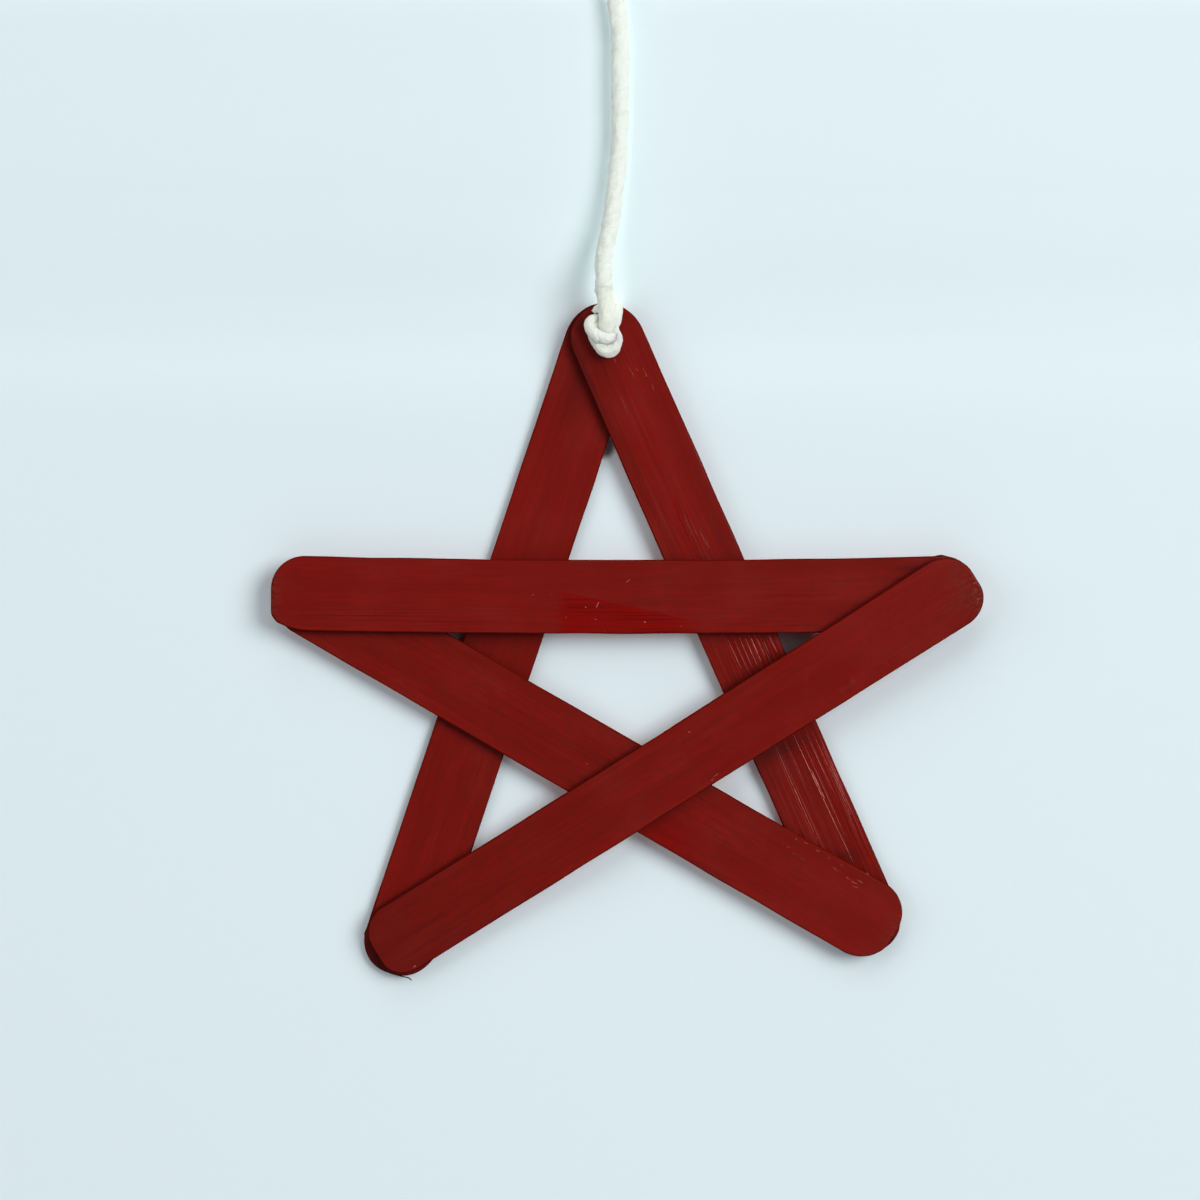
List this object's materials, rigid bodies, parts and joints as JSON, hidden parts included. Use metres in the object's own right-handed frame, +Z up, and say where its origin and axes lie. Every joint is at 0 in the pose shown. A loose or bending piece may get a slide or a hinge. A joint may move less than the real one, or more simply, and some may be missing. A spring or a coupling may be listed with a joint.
{
  "type": "bamboo star ornament",
  "caption": "Hanging star of red painted bamboo slats laid over each other, on a twisted white cotton cord with a loop.",
  "frame": {"origin": "the inside top of the cord's loop, where the ornament hangs", "axes": "+X to the right across the star, +Y away from its face, +Z up; the star's face looks along -Y"},
  "size_m": [0.1508, 0.0109, 0.2596],
  "materials": {
    "red_paint": "satin red paint over bamboo, its fine lengthwise grain showing",
    "white_cotton": "soft twisted cotton, creamy white"
  },
  "bodies": {
    "root": {"slat_left_leg": "red_paint", "slat_right_leg": "red_paint", "slat_falling": "red_paint", "slat_crossbar": "red_paint", "slat_rising": "red_paint", "star_knot": "white_cotton", "cord_run": "white_cotton", "loop_knot": "white_cotton", "cord_loop": "white_cotton"}
  },
  "joints": []
}
